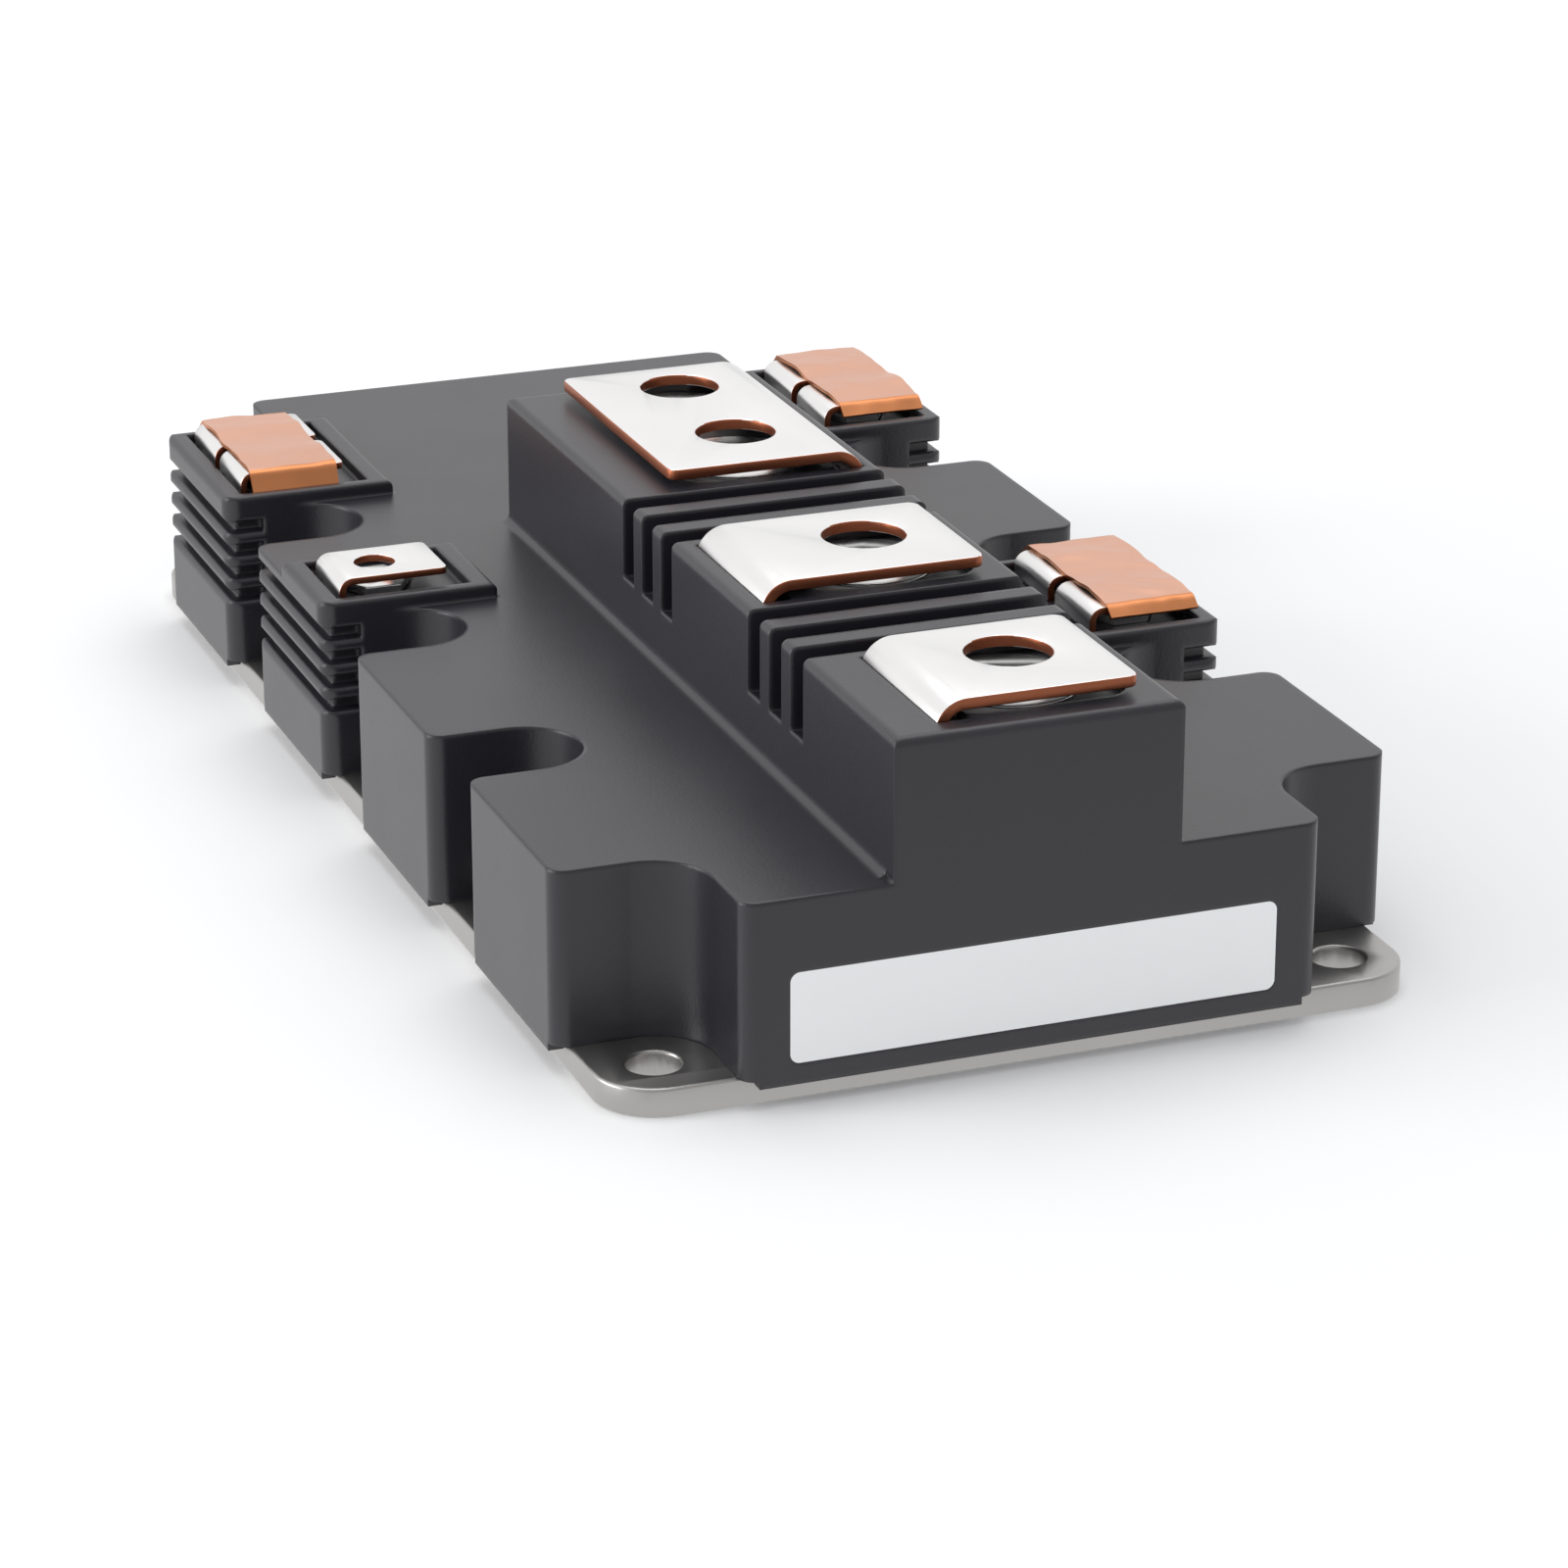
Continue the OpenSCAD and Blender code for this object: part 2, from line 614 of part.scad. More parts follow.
module signal_tab(n) {
    i = n - 1;
    inward = block_side(TABS[i][0]) < 0 ? 1 : -1;
    r = tab_bend + tab_t;
    pad_x = -inward * (sub_w / 2 - 2) - tab_x(i);
    strip_z = pedestal_z - 1.6;
    color("#e6e4e0") translate([tab_x(i), tab_y(i), 0]) {
        difference() {
            translate([r, -tab_w / 2, tab_under]) cube([tab_l - r, tab_w, tab_t]);
            translate([tab_hole_at, 0, tab_under - 1]) cylinder(h = tab_t + 2, d = tab_hole_d);
            for (t = [0, 1]) mirror([0, t, 0]) translate([tab_l, -tab_w / 2, tab_under - 1])
                linear_extrude(tab_t + 2) mirror([1, 0]) corner_waste(tab_t);
        }
        translate([r, -tab_w / 2, tab_top - r]) rotate([-90, 0, 0]) linear_extrude(tab_w) intersection() {
            difference() {
                circle(r);
                circle(tab_bend);
            }
            translate([-r - 1, -r - 1]) square(r + 1);
        }
        translate([0, -tab_w / 2, shoulder_z]) cube([tab_t, tab_w, tab_top - r - shoulder_z]);
        translate([0, lead_y(i) - lead_w / 2, 0]) {
            translate([0, 0, strip_z]) cube([tab_t, lead_w, shoulder_z - strip_z]);
            strip_x = min(0, pad_x - tab_t / 2);
            strip_l = abs(pad_x) + tab_t * (inward > 0 ? 0.5 : 1.5);
            translate([strip_x, 0, strip_z]) cube([strip_l, lead_w, tab_t]);
            translate([pad_x - tab_t / 2, 0, chip_z]) cube([tab_t, lead_w, strip_z - chip_z + tab_t]);
        }
    }
}

module signal_nut(n) {
    color("#d4d4d0") translate([tab_x(n - 1) + tab_hole_at, tab_y(n - 1), tab_under - small_drop - small_h])
        difference() {
            linear_extrude(small_h) hexagon(small_af);
            translate([0, 0, -1]) cylinder(h = small_h + 2, d = small_bore);
        }
}

// Copper sheet laid over a pair of tabs, with both its sides folded down
module strap_profile() {
    half = strap_l / 2;
    translate([-half, 0]) square([2 * half, strap_t]);
    for (s = [0, 1]) mirror([s, 0]) translate([half, 0]) {
        intersection() {
            circle(strap_t);
            translate([0, -strap_t]) square([strap_t, 2 * strap_t]);
            rotate(-90 + strap_slant) square([strap_t, 2 * strap_t]);
        }
        intersection() {
            circle(strap_t);
            square(strap_t);
        }
        rotate(strap_slant) translate([0, -strap_side]) square([strap_t, strap_side]);
    }
}

// How far each strap lies off its usual place, across and along: they are pushed on by hand
STRAP_OFF = [[-0.9, -0.3], [0, 0.1], [0, 0.3]];

module shorting_strap(n) {
    off = STRAP_OFF[n - 1];
    x = row_x(block_side(n)) + strap_from + off[0];
    color("#d79a6c") translate([x, block_y(n) + pair_shift + off[1], tab_top]) rotate([90, 0, 90])
        linear_extrude(strap_w) strap_profile();
}

// ---------- Label ----------

module front_label_shape() {
    translate([0, front + label_t, label_z + label_h / 2]) rotate([90, 0, 0])
        linear_extrude(label_t + eps) rounded_rect(label_w, label_h, 1);
}

module front_label() {
    color("white") translate([0, front + label_t, label_z + label_h / 2]) rotate([90, 0, 0])
        linear_extrude(label_t) rounded_rect(label_w, label_h, 1);
}

// ---------- Substrates, chips and what joins them ----------

// Circuit copper islands from left to right: left edge and width
pad_w = 2.8;
margin = 0.4;
function islands() = let (
    a = -sub_w / 2 + margin, b = a + pad_w + island_gap,
    n = screw_x - minus_bend - island_gap, m = n + 5.8, e = sub_w / 2 - margin - pad_w)
    [[a, pad_w], [b, n - island_gap - b], [n, m - n], [m + island_gap, e - m - 2 * island_gap], [e, pad_w]];

module substrate(n) {
    color("#eeeae0") translate([-sub_w / 2, sub_y(n) - sub_l / 2, ceramic_z]) cube([sub_w, sub_l, ceramic_t]);
}

module circuit_copper(n) {
    color("#c98a5c") for (k = islands()) translate([k[0], sub_y(n) - sub_l / 2 + margin, copper_z])
        cube([k[1], sub_l - 2 * margin, copper_t]);
}

// Chip centres across a substrate: high side, low side
chip_y = 6.8;
function chip_x() = [islands()[1][0] + 0.3 + switch_a / 2, islands()[3][0] + 1.2 + switch_a / 2];

module switch_chips(n) {
    color("#5a6a78") for (x = chip_x()) translate([x, sub_y(n) + chip_y, chip_z + chip_t / 2])
        cube([switch_a, switch_a, chip_t], center = true);
}

module diode_chips(n) {
    color("#6b7480") for (x = chip_x()) translate([x, sub_y(n) - chip_y, chip_z + chip_t / 2])
        cube([diode_a, diode_a, chip_t], center = true);
}

module substrate_solder() {
    color("#a8a8a4") for (n = [1:6]) translate([-sub_w / 2 + margin, sub_y(n) - sub_l / 2 + margin, plate_t])
        cube([sub_w - 2 * margin, sub_l - 2 * margin, solder_t]);
}

module temperature_sensor() {
    color("#3a3f46") translate([islands()[4][0] + pad_w / 2, sub_y(6) - chip_y, chip_z + 0.4])
        cube([1.2, 2, 0.8], center = true);
}

// One bond wire from x0 to x1, an arc that rises by sag above the chips
module wire(x0, x1, y, sag) {
    half = (x1 - x0) / 2;
    r = (half * half + sag * sag) / (2 * sag);
    a = asin(half / r) + 4;
    translate([x0 + half, y, chip_z + sag - r]) rotate([90, 0, 0]) rotate([0, 0, 90 - a])
        rotate_extrude(angle = 2 * a) translate([r, 0]) circle(d = wire_d, $fn = 16);
}

module bond_wires() {
    high = chip_x()[0];
    low = chip_x()[1];
    land_ac = islands()[3][0] + 0.6;
    land_n = islands()[2][0] + islands()[2][1] / 2;
    color("#d8d8d4") difference() {
        for (n = [1:6], k = [-1:1]) {
            wire(high + 2, land_ac, sub_y(n) + chip_y + 3 * k, 2);
            wire(high + 2, land_ac, sub_y(n) - chip_y + 2 * k, 2);
            wire(land_n, low - 1.5, sub_y(n) + chip_y + 3 * k + 1, 1.5);
            wire(land_n, low - 1.5, sub_y(n) - chip_y + 2 * k + 1, 1.5);
        }
        translate([-body_w / 2, front, 0]) cube([body_w, body_l, chip_z]);
        for (n = [1:6]) {
            switch_chips(n);
            diode_chips(n);
        }
    }
}

module silicone_gel() {
    color("#dfe6ea") difference() {
        translate([0, 0, plate_t]) linear_extrude(gel_h - plate_t) inside();
        dc_minus_terminal();
        dc_plus_terminal();
        ac_terminal();
        for (n = [1:len(TABS)]) signal_tab(n);
        substrate_solder();
        temperature_sensor();
        for (n = [1:6]) {
            substrate(n);
            circuit_copper(n);
            switch_chips(n);
            diode_chips(n);
            // Room for the bond wires
            for (s = [-1, 1]) {
                w = s > 0 ? switch_a : diode_a;
                x = chip_x()[0] + 1;
                translate([x, sub_y(n) + s * chip_y - w / 2 + 0.4, chip_z])
                    cube([chip_x()[1] - x - 0.5, w + 1, 2.5]);
            }
        }
        for (x = [-1, 1], k = [-2:2])
            translate([x * hole_pitch_w / 2, k * hole_pitch_l, 0]) cylinder(h = plate_t, d = hole_d);
    }
}

base_plate();
housing();
dc_minus_terminal();
dc_plus_terminal();
ac_terminal();
for (n = [1:len(SCREWS)]) power_nut(n);
for (n = [1:len(TABS)]) signal_tab(n);
for (n = [1:len(TABS)]) signal_nut(n);
for (n = [1:3]) shorting_strap(n);
front_label();
for (n = [1:6]) substrate(n);
for (n = [1:6]) circuit_copper(n);
for (n = [1:6]) switch_chips(n);
for (n = [1:6]) diode_chips(n);
substrate_solder();
temperature_sensor();
bond_wires();
silicone_gel();
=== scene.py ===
import math

import bmesh
import bpy
from mathutils import Matrix, Vector, noise


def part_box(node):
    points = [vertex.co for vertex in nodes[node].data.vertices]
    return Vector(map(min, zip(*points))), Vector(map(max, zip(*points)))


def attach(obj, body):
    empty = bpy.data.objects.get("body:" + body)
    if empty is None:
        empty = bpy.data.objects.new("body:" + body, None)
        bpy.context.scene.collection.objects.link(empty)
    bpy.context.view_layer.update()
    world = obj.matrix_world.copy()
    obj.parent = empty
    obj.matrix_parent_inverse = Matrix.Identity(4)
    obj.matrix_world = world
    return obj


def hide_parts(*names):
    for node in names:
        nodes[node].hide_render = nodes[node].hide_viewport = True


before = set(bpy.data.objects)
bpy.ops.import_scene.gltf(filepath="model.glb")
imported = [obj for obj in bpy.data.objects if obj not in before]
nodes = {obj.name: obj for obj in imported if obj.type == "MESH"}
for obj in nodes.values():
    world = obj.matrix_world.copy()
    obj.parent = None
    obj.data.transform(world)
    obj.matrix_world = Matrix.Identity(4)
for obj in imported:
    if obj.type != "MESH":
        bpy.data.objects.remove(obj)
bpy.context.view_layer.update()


# ---------------------------------------------------------------- base plate
# Copper plate 3 mm thick, nickel plated, with ten plain screw holes. It is punched, so its edges are
# slightly rounded. The whole module is soldered and glued on it.
PLATE_EDGE = 0.00035
NICKEL = (0.42, 0.41, 0.40)

# What counts as one point, as one flat face and as a sharp edge, and in how many steps an edge is rounded.
SAME_POINT = 2e-6
ONE_FACE = math.radians(0.5)
SHARP = math.radians(35)
ROUND_STEPS = 3

# How coarse the slow change of tone is, and how deep the fine grain.
CLOUD_SCALE = 90
GRAIN_DEPTH = 0.00004


def rounded_copy(node, name, width):
    """A CAD node's mesh with its sharp edges rounded, as a piece of its own in the node's place."""
    me = nodes[node].data.copy()
    bm = bmesh.new()
    bm.from_mesh(me)
    bmesh.ops.remove_doubles(bm, verts=bm.verts, dist=SAME_POINT)
    bmesh.ops.dissolve_limit(bm, angle_limit=ONE_FACE, verts=bm.verts, edges=bm.edges)
    bmesh.ops.recalc_face_normals(bm, faces=bm.faces)
    bm.to_mesh(me)
    bm.free()
    me.shade_smooth()
    work = bpy.data.objects.new(name + " work", me)
    bpy.context.collection.objects.link(work)
    mod = work.modifiers.new("edges", "BEVEL")
    mod.width = width
    mod.segments = ROUND_STEPS
    mod.limit_method = "ANGLE"
    mod.angle_limit = SHARP
    mod.use_clamp_overlap = False
    mod.harden_normals = True
    made = bpy.data.meshes.new_from_object(work.evaluated_get(bpy.context.evaluated_depsgraph_get()))
    bpy.data.objects.remove(work)
    made.name = name
    obj = bpy.data.objects.new(name, made)
    bpy.context.collection.objects.link(obj)
    made.materials.clear()
    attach(obj, "root")
    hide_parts(node)
    return obj


def surface(name, colour, metal, rough, grain=0.0, grain_size=0.0004, cloud=0.0, ior=1.5, edge=0.0):
    """A plain surface with a fine grain and a slow change of tone, both from Object coordinates. edge is
    the radius that sharp edges look rounded by, on a surface that has a grain."""
    mat = bpy.data.materials.new(name)
    mat.use_nodes = True
    nt = mat.node_tree
    bsdf = nt.nodes["Principled BSDF"]
    bsdf.inputs["Base Color"].default_value = (*colour, 1)
    bsdf.inputs["Metallic"].default_value = metal
    bsdf.inputs["Roughness"].default_value = rough
    bsdf.inputs["IOR"].default_value = ior
    coord = nt.nodes.new("ShaderNodeTexCoord")
    if cloud:
        big = nt.nodes.new("ShaderNodeTexNoise")
        big.inputs["Scale"].default_value = CLOUD_SCALE
        big.inputs["Detail"].default_value = 3
        ramp = nt.nodes.new("ShaderNodeMapRange")
        ramp.inputs["To Min"].default_value = 1 - cloud
        ramp.inputs["To Max"].default_value = 1 + cloud
        tone = nt.nodes.new("ShaderNodeVectorMath")
        tone.operation = "SCALE"
        tone.inputs[0].default_value = colour
        nt.links.new(coord.outputs["Object"], big.inputs["Vector"])
        nt.links.new(big.outputs["Fac"], ramp.inputs["Value"])
        nt.links.new(ramp.outputs["Result"], tone.inputs["Scale"])
        nt.links.new(tone.outputs["Vector"], bsdf.inputs["Base Color"])
        wear = nt.nodes.new("ShaderNodeMapRange")
        wear.inputs["To Min"].default_value = rough * (1 - cloud)
        wear.inputs["To Max"].default_value = min(1, rough * (1 + cloud))
        nt.links.new(big.outputs["Fac"], wear.inputs["Value"])
        nt.links.new(wear.outputs["Result"], bsdf.inputs["Roughness"])
    if grain:
        fine = nt.nodes.new("ShaderNodeTexNoise")
        fine.inputs["Scale"].default_value = 1 / grain_size
        fine.inputs["Detail"].default_value = 2
        bump = nt.nodes.new("ShaderNodeBump")
        bump.inputs["Strength"].default_value = grain
        bump.inputs["Distance"].default_value = GRAIN_DEPTH
        nt.links.new(coord.outputs["Object"], fine.inputs["Vector"])
        nt.links.new(fine.outputs["Fac"], bump.inputs["Height"])
        nt.links.new(bump.outputs["Normal"], bsdf.inputs["Normal"])
        if edge:
            worn = nt.nodes.new("ShaderNodeBevel")
            worn.samples = 8
            worn.inputs["Radius"].default_value = edge
            nt.links.new(worn.outputs["Normal"], bump.inputs["Normal"])
    return mat


plate = rounded_copy("base_plate", "plate_body", PLATE_EDGE)
plate.data.materials.append(surface("nickel", NICKEL, 1.0, 0.38, grain=0.25, cloud=0.06))

# ------------------------------------------------ substrates, chips and gel
# Six ceramic substrates are soldered on the plate. Each has etched copper islands, chips and bond wires,
# and clear soft gel covers them. All of it is closed in, so it keeps its plain solids.
INSIDE = {
    "solder": ((0.42, 0.42, 0.41), 1.0, 0.45, ["substrate_solder"]),
    "ceramic": ((0.80, 0.78, 0.73), 0.0, 0.7, ["substrate_%d" % n for n in range(1, 7)]),
    "circuit copper": ((0.62, 0.33, 0.22), 1.0, 0.4, ["circuit_copper_%d" % n for n in range(1, 7)]),
    "silicon": (
        (0.10, 0.11, 0.13), 0.6, 0.25,
        ["switch_chips_%d" % n for n in range(1, 7)]
        + ["diode_chips_%d" % n for n in range(1, 7)] + ["temperature_sensor"],
    ),
    "bond wire": ((0.75, 0.75, 0.74), 1.0, 0.3, ["bond_wires"]),
}
for name, (colour, metal, rough, which) in INSIDE.items():
    mat = surface(name, colour, metal, rough)
    for node in which:
        nodes[node].data.materials.clear()
        nodes[node].data.materials.append(mat)

gel = surface("clear gel", (0.80, 0.84, 0.86), 0.0, 0.15, ior=1.41)
gel.node_tree.nodes["Principled BSDF"].inputs["Transmission Weight"].default_value = 0.8
nodes["silicone_gel"].data.materials.clear()
nodes["silicone_gel"].data.materials.append(gel)

# ----------------------------------------------------------- power terminals
# Two DC terminals and one AC terminal, stamped from 1.2 mm copper sheet that was tinned before. So the
# flat faces are silver, and every sheared edge, hole walls too, shows reddish copper.
TIN = (0.83, 0.82, 0.815)
CUT_COPPER = (0.40, 0.135, 0.07)
SHEAR = 0.00018
FREE_END_DEPTH = 0.0008

# The screw holes' walls are what lies this close to a screw's axis and above this height.
BAR_HOLE_R = 0.0048
BAR_HOLE_Z = 0.0362
SCREW_HOLES = [(0.0025, y) for y in (-0.072, -0.034, 0.004, 0.022)]
BAR_FREE_END = {"dc_minus_terminal": 0.0116, "dc_plus_terminal": 0.0116, "ac_terminal": -0.0090}

tin = surface("tinned sheet", TIN, 1.0, 0.30, grain=0.15, cloud=0.05)
cut_copper = surface("sheared copper", CUT_COPPER, 1.0, 0.42, grain=0.4, grain_size=0.0005, cloud=0.25)


def sheared(obj, holes, hole_r, hole_z, free_x, free_sign):
    """Gives a bent sheet's cut faces the second material: its sides, its free end and its hole walls."""
    for f in obj.data.polygons:
        n, c = f.normal, f.center
        cut = abs(n.y) > 0.6 or (n.x * free_sign > 0.6 and (c.x - free_x) * free_sign > -FREE_END_DEPTH)
        if c.z > hole_z and abs(n.z) < 0.7:
            cut = cut or any(math.hypot(c.x - x, c.y - y) < hole_r for x, y in holes)
        f.material_index = 1 if cut else 0


for node, free in BAR_FREE_END.items():
    bar = rounded_copy(node, node.replace("terminal", "bar"), SHEAR)
    bar.data.materials.append(tin)
    bar.data.materials.append(cut_copper)
    sheared(bar, SCREW_HOLES, BAR_HOLE_R, BAR_HOLE_Z, free, 1 if free > 0 else -1)

# ---------------------------------------------------------- signal terminals
# Seven tabs of tinned copper sheet, stamped like the power terminals but 0.8 mm thick, and bent over the
# housing's blocks. Their leads run down through the blocks to the substrates.
TAB_EDGE = 0.00012

# Where the left and the right tabs bend, and how far from there the hole and the free end are.
TAB_BEND_LEFT = -0.0415
TAB_BEND_RIGHT = 0.0307
TAB_HOLE_AT = 0.0054
TAB_HOLE_R = 0.0026
TAB_HOLE_Z = 0.0235
TAB_LENGTH = 0.0124
for n in range(1, 8):
    lo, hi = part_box("signal_tab_%d" % n)
    hole_y = (lo.y + hi.y) / 2
    bend_x = TAB_BEND_LEFT if lo.x < 0 else TAB_BEND_RIGHT
    tab = rounded_copy("signal_tab_%d" % n, "signal_lug_%d" % n, TAB_EDGE)
    tab.data.materials.append(tin)
    tab.data.materials.append(cut_copper)
    sheared(tab, [(bend_x + TAB_HOLE_AT, hole_y)], TAB_HOLE_R, TAB_HOLE_Z, bend_x + TAB_LENGTH, 1)

# ------------------------------------------------------------------- housing
# One moulding of dark grey fibre-filled plastic, glued over the plate: a deck with notches for the
# screws, four ribbed blocks for the signal terminals and the slotted tower. Its surface is spark-eroded.
# Its solid is sharp, and the material shades the edges as rounded.
HOUSING_EDGE = 0.0007
CHARCOAL = (0.0182, 0.0172, 0.0228)
charcoal = surface(
    "charcoal plastic", CHARCOAL, 0.0, 0.35,
    grain=0.5, grain_size=0.00035, cloud=0.08, ior=1.55, edge=HOUSING_EDGE)
nodes["housing"].data.materials.clear()
nodes["housing"].data.materials.append(charcoal)

# ---------------------------------------------------------------------- nuts
# Plated steel nuts, loose in hexagonal pockets: four M8 with round flanges under the power terminals and
# seven M4 under the signal tabs. Their threads are cut, so each bore has a spiral ridge, which is given by
# the radius of its centre line and by its pitch.
NUT_STEEL = (0.88, 0.88, 0.87)
NUT_EDGE = 0.00025
SMALL_NUT_EDGE = 0.00015
POWER_THREAD = (0.00355, 0.00125)
SIGNAL_THREAD = (0.00175, 0.0007)
steel = surface("plated nut steel", NUT_STEEL, 1.0, 0.24, cloud=0.05)


def thread_tree():
    """A spiral with a triangular section, as a node tree: bore radius, pitch, turns and ridge size."""
    t = bpy.data.node_groups.new("thread ridge", "GeometryNodeTree")
    t.interface.new_socket("Geometry", in_out="OUTPUT", socket_type="NodeSocketGeometry")
    for label in ("Bore radius", "Pitch", "Turns", "Ridge"):
        t.interface.new_socket(label, in_out="INPUT", socket_type="NodeSocketFloat")
    t.interface.new_socket("Material", in_out="INPUT", socket_type="NodeSocketMaterial")
    gin, out = t.nodes.new("NodeGroupInput"), t.nodes.new("NodeGroupOutput")
    spiral = t.nodes.new("GeometryNodeCurveSpiral")
    spiral.inputs["Resolution"].default_value = 32
    height = t.nodes.new("ShaderNodeMath")
    height.operation = "MULTIPLY"
    ring = t.nodes.new("GeometryNodeCurvePrimitiveCircle")
    ring.inputs["Resolution"].default_value = 3
    sweep = t.nodes.new("GeometryNodeCurveToMesh")
    sweep.inputs["Fill Caps"].default_value = True
    real = t.nodes.new("GeometryNodeRealizeInstances")
    paint = t.nodes.new("GeometryNodeSetMaterial")
    link = t.links.new
    link(gin.outputs["Bore radius"], spiral.inputs["Start Radius"])
    link(gin.outputs["Bore radius"], spiral.inputs["End Radius"])
    link(gin.outputs["Turns"], spiral.inputs["Rotations"])
    link(gin.outputs["Pitch"], height.inputs[0])
    link(gin.outputs["Turns"], height.inputs[1])
    link(height.outputs[0], spiral.inputs["Height"])
    link(gin.outputs["Ridge"], ring.inputs["Radius"])
    link(spiral.outputs["Curve"], sweep.inputs["Curve"])
    link(ring.outputs["Curve"], sweep.inputs["Profile Curve"])
    link(sweep.outputs["Mesh"], real.inputs["Geometry"])
    link(real.outputs["Geometry"], paint.inputs["Geometry"])
    link(gin.outputs["Material"], paint.inputs["Material"])
    link(paint.outputs["Geometry"], out.inputs["Geometry"])
    return t


ridge_tree = thread_tree()


def thread(node, name, radius, pitch):
    """The ridge of one nut's thread, made by the tree in the nut's bore and turned into a plain mesh."""
    lo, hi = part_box(node)
    foot = Vector(((lo.x + hi.x) / 2, (lo.y + hi.y) / 2, lo.z))
    work = bpy.data.objects.new(name + " work", bpy.data.meshes.new(name + " work"))
    bpy.context.collection.objects.link(work)
    mod = work.modifiers.new("thread", "NODES")
    mod.node_group = ridge_tree
    turns = (hi.z - lo.z) / pitch - 1
    values = {"Bore radius": radius, "Pitch": pitch, "Turns": turns, "Ridge": pitch * 0.5, "Material": steel}
    for item in ridge_tree.interface.items_tree:
        if item.in_out == "INPUT":
            mod[item.identifier] = values[item.name]
    me = bpy.data.meshes.new_from_object(work.evaluated_get(bpy.context.evaluated_depsgraph_get()))
    bpy.data.objects.remove(work)
    me.transform(Matrix.Translation(foot + Vector((0, 0, pitch / 2))))
    obj = bpy.data.objects.new(name, me)
    bpy.context.collection.objects.link(obj)
    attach(obj, "root")


NUTS = [("power_nut", 4, NUT_EDGE, POWER_THREAD), ("signal_nut", 7, SMALL_NUT_EDGE, SIGNAL_THREAD)]
for kind, count, edge, ridge in NUTS:
    for n in range(1, count + 1):
        nut = rounded_copy("%s_%d" % (kind, n), "%s_body_%d" % (kind, n), edge)
        nut.data.materials.append(steel)
        thread("%s_%d" % (kind, n), "%s_thread_%d" % (kind, n), *ridge)

# ----------------------------------------------------------- shorting straps
# Three bare copper sheets 0.4 mm thick, pushed by hand over the pairs of signal tabs for transport, with
# both sides folded down. They are soft, so each bulges over its two tabs and is dented unevenly. A side is
# given by its length and how far it is folded down, strap by strap for the near sides.
STRAP = (0.69, 0.385, 0.275)
# The next colour is the same bare copper painted darker and more orange, as painted shade for the folded
# sides and the sheet's rim.
STRAP_FOLD_SHADED = (0.60, 0.235, 0.10)
STRAP_SHEET = 0.0004
STRAP_FLAT = 0.0214
STRAP_FOLD_R = 0.0009
STRAP_NEAR = [(0.0028, math.radians(60)), (0.0016, math.radians(42)), (0.0018, math.radians(46))]
STRAP_FAR = (0.0021, math.radians(40))
STRAP_BULGE = 0.00030
STRAP_DENT = 0.00026
STRAP_WANDER = 0.00016
DENTS_PER_METRE = 190
FINE_DENTS = 2.3
ACROSS, ALONG = 72, 26
strap_copper = surface("bare strap copper", STRAP, 1.0, 0.36, grain=0.5, grain_size=0.0015, cloud=0.07)
# The same copper with painted shade, for the folded sides and the rim.
strap_fold_shaded = surface("strap copper with painted shade on folds", STRAP_FOLD_SHADED, 1.0, 0.38, grain=0.5, grain_size=0.0015, cloud=0.10)


def strap_section(run, angle):
    """The sheet's outer face at a distance from its middle: place across, drop below the top, and slope."""
    flat = STRAP_FLAT / 2 - STRAP_FOLD_R * math.tan(angle / 2)
    past = abs(run) - flat
    turn = min(max(past / STRAP_FOLD_R, 0), angle)
    rest = max(past - STRAP_FOLD_R * angle, 0)
    y = min(abs(run), flat) + STRAP_FOLD_R * math.sin(turn) + rest * math.cos(turn)
    drop = STRAP_FOLD_R * (1 - math.cos(turn)) + rest * math.sin(turn)
    return math.copysign(y, run), drop, math.copysign(turn, run)


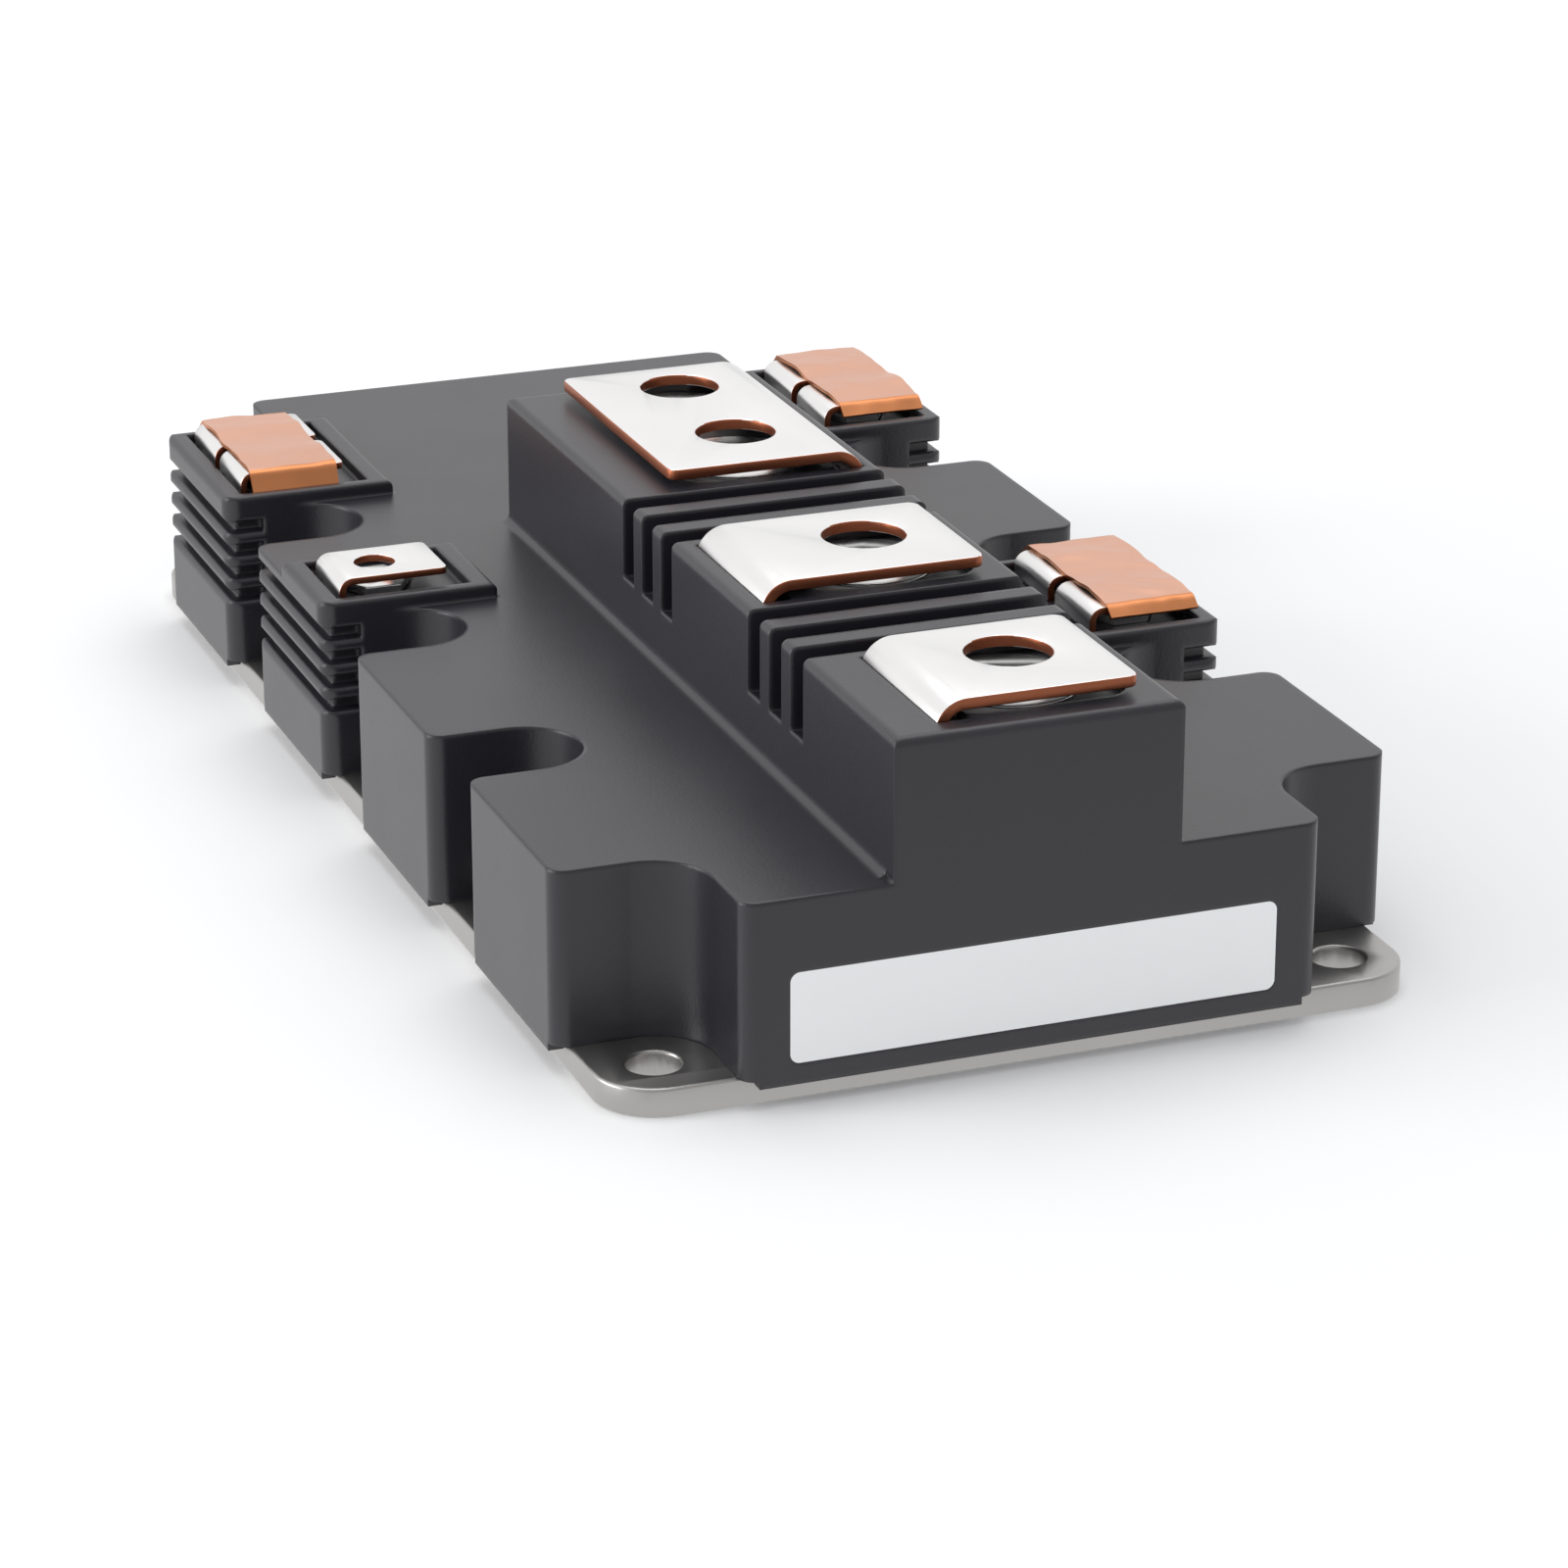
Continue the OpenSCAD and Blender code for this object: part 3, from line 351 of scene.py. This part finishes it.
def soft_strap(n):
    """One strap as a closed sheet in its solid's place, with bulges over the tabs and dents."""
    lo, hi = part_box("shorting_strap_%d" % n)
    mid = (lo + hi) / 2
    near_side, near_angle = STRAP_NEAR[n - 1]
    near = STRAP_FLAT / 2 + near_side
    whole = near + STRAP_FLAT / 2 + STRAP_FAR[0]
    verts, faces, kinds = [], [], []
    for below in (0, STRAP_SHEET):
        for i in range(ACROSS + 1):
            run = whole * i / ACROSS - near
            y, drop, turn = strap_section(run, near_angle if run < 0 else STRAP_FAR[1])
            bulge = STRAP_BULGE * math.sin(2 * math.pi * min(abs(run) / STRAP_FLAT, 0.5)) ** 2
            for j in range(ALONG + 1):
                x = mid.x + (j / ALONG - 0.5) * (hi.x - lo.x)
                seed = Vector((x * DENTS_PER_METRE, (mid.y + y) * DENTS_PER_METRE, n * 3.7))
                dent = STRAP_DENT * (noise.noise(seed) + 0.5 * noise.noise(seed * FINE_DENTS))
                wander = STRAP_WANDER * noise.noise(Vector((j / 5, i / 9, n * 5.1)))
                out = bulge + dent - below
                verts.append((
                    x + wander,
                    mid.y + y + math.sin(turn) * out,
                    hi.z - drop + math.cos(turn) * out))
    row = ALONG + 1
    sheet = (ACROSS + 1) * row
    for i in range(ACROSS):
        # Faces on the folds, and the rim below, get the copper with painted shade.
        bent = abs(whole * (i + 0.5) / ACROSS - near) > STRAP_FLAT / 2 - STRAP_FOLD_R / 2
        for j in range(ALONG):
            k = i * row + j
            faces.append((k, k + 1, k + row + 1, k + row))
            faces.append((k + sheet, k + sheet + row, k + sheet + row + 1, k + sheet + 1))
            kinds += [bent, bent]
    rim = list(range(row)) + [i * row + ALONG for i in range(1, ACROSS + 1)]
    rim += [ACROSS * row + j for j in range(ALONG - 1, -1, -1)]
    rim += [i * row for i in range(ACROSS - 1, 0, -1)]
    for a, b in zip(rim, rim[1:] + rim[:1]):
        faces.append((b, a, a + sheet, b + sheet))
        kinds.append(True)
    me = bpy.data.meshes.new("strap_body_%d" % n)
    me.from_pydata(verts, [], faces)
    me.materials.append(strap_copper)
    me.materials.append(strap_fold_shaded)
    me.polygons.foreach_set("material_index", [int(kind) for kind in kinds])
    me.shade_smooth()
    me.set_sharp_from_angle(angle=math.radians(50))
    obj = bpy.data.objects.new("strap_body_%d" % n, me)
    bpy.context.collection.objects.link(obj)
    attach(obj, "root")
    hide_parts("shorting_strap_%d" % n)


for n in range(1, 4):
    soft_strap(n)

# --------------------------------------------------------------------- label
# White plastic film, stuck into the housing's front face and flush with it. Its print isn't copied, so the
# film is blank.
label_film = surface("label film", (0.88, 0.885, 0.89), 0.0, 0.35)
nodes["front_label"].data.materials.clear()
nodes["front_label"].data.materials.append(label_film)

# --------------------------------------------------------------------- stage
# A pale floor in a white room, with one soft lamp above and a little behind and one on the left. The
# camera looks down at the module from its front left.
FLOOR = 6
floor_me = bpy.data.meshes.new("floor")
floor_corners = [(-FLOOR, -FLOOR, 0), (FLOOR, -FLOOR, 0), (FLOOR, FLOOR, 0), (-FLOOR, FLOOR, 0)]
floor_me.from_pydata(floor_corners, [], [(0, 1, 2, 3)])
floor = bpy.data.objects.new("floor", floor_me)
bpy.context.collection.objects.link(floor)
floor_mat = bpy.data.materials.new("pale floor")
floor_mat.use_nodes = True
ft = floor_mat.node_tree
floor_bsdf = ft.nodes["Principled BSDF"]
floor_bsdf.inputs["Base Color"].default_value = (0.95, 0.95, 0.95, 1)
floor_bsdf.inputs["Roughness"].default_value = 0.9
floor_bsdf.inputs["Specular IOR Level"].default_value = 0.0
floor_me.materials.append(floor_mat)

world = bpy.data.worlds.new("studio")
bpy.context.scene.world = world
world.use_nodes = True
wt = world.node_tree
wt.nodes.clear()


def darker_in_front(nt, space, near, far, dark):
    """White towards the back of the studio and darker towards its front, for what shiny pieces mirror."""
    coord = nt.nodes.new("ShaderNodeTexCoord")
    split = nt.nodes.new("ShaderNodeSeparateXYZ")
    fade = nt.nodes.new("ShaderNodeMapRange")
    fade.interpolation_type = "SMOOTHSTEP"
    fade.inputs["From Min"].default_value = near
    fade.inputs["From Max"].default_value = far
    fade.inputs["To Min"].default_value = dark
    fade.inputs["To Max"].default_value = 1.0
    nt.links.new(coord.outputs[space], split.inputs[0])
    nt.links.new(split.outputs["Y"], fade.inputs["Value"])
    return fade.outputs["Result"]


path = wt.nodes.new("ShaderNodeLightPath")
mirrored = wt.nodes.new("ShaderNodeMath")
mirrored.operation = "MAXIMUM"
wt.links.new(path.outputs["Is Glossy Ray"], mirrored.inputs[0])
wt.links.new(path.outputs["Is Transmission Ray"], mirrored.inputs[1])
soft = wt.nodes.new("ShaderNodeBackground")
soft.inputs["Color"].default_value = (0.97, 0.98, 1.0, 1)
soft.inputs["Strength"].default_value = 0.76
shiny = wt.nodes.new("ShaderNodeBackground")
shiny.inputs["Color"].default_value = (1, 1, 1, 1)
wt.links.new(darker_in_front(wt, "Generated", near=-0.7, far=0.3, dark=0.55), shiny.inputs["Strength"])
white = wt.nodes.new("ShaderNodeBackground")
white.inputs["Color"].default_value = (1, 1, 1, 1)
lit = wt.nodes.new("ShaderNodeMixShader")
seen = wt.nodes.new("ShaderNodeMixShader")
world_out = wt.nodes.new("ShaderNodeOutputWorld")
wt.links.new(mirrored.outputs[0], lit.inputs["Fac"])
wt.links.new(soft.outputs[0], lit.inputs[1])
wt.links.new(shiny.outputs[0], lit.inputs[2])
wt.links.new(path.outputs["Is Camera Ray"], seen.inputs["Fac"])
wt.links.new(lit.outputs[0], seen.inputs[1])
wt.links.new(white.outputs[0], seen.inputs[2])
wt.links.new(seen.outputs[0], world_out.inputs["Surface"])

# The floor shows its own colour and the object's shadow. Shiny pieces mirror it as white that darkens
# towards the front.
floor_path = ft.nodes.new("ShaderNodeLightPath")
floor_white = ft.nodes.new("ShaderNodeEmission")
floor_pick = ft.nodes.new("ShaderNodeMixShader")
ft.links.new(darker_in_front(ft, "Object", near=-0.55, far=0.0, dark=0.35), floor_white.inputs["Strength"])
ft.links.new(floor_path.outputs["Is Glossy Ray"], floor_pick.inputs["Fac"])
ft.links.new(floor_bsdf.outputs[0], floor_pick.inputs[1])
ft.links.new(floor_white.outputs[0], floor_pick.inputs[2])
ft.links.new(floor_pick.outputs[0], ft.nodes["Material Output"].inputs["Surface"])


def softbox(name, at, target, size, power):
    """A square area lamp that faces a point."""
    lamp = bpy.data.lights.new(name, "AREA")
    lamp.shape = "SQUARE"
    lamp.size = size
    lamp.energy = power
    obj = bpy.data.objects.new(name, lamp)
    obj.location = at
    obj.rotation_euler = (Vector(target) - Vector(at)).to_track_quat("-Z", "Y").to_euler()
    bpy.context.collection.objects.link(obj)


MIDDLE = (0, 0, 0.02)
softbox("overhead softbox", (0.1, 0.25, 0.95), MIDDLE, 0.8, 2.9)
softbox("left softbox", (-1.0, 0.15, 0.30), MIDDLE, 0.6, 5.8)

CAMERA_AT = (-0.19085, -0.51753, 0.21240)
CAMERA_DOWN = 0.3702
CAMERA_RIGHT = 0.3646
camera = bpy.data.objects.new("camera", bpy.data.cameras.new("camera"))
bpy.context.collection.objects.link(camera)
camera.location = CAMERA_AT
camera.rotation_euler = (math.pi / 2 - CAMERA_DOWN, 0, -CAMERA_RIGHT)
camera.data.lens = 121.95
camera.data.sensor_width = 36
camera.data.clip_start = 0.01

scene = bpy.context.scene
scene.camera = camera
scene.render.engine = "CYCLES"
scene.render.resolution_x = 1024
scene.render.resolution_y = 1024
scene.view_settings.view_transform = "Standard"
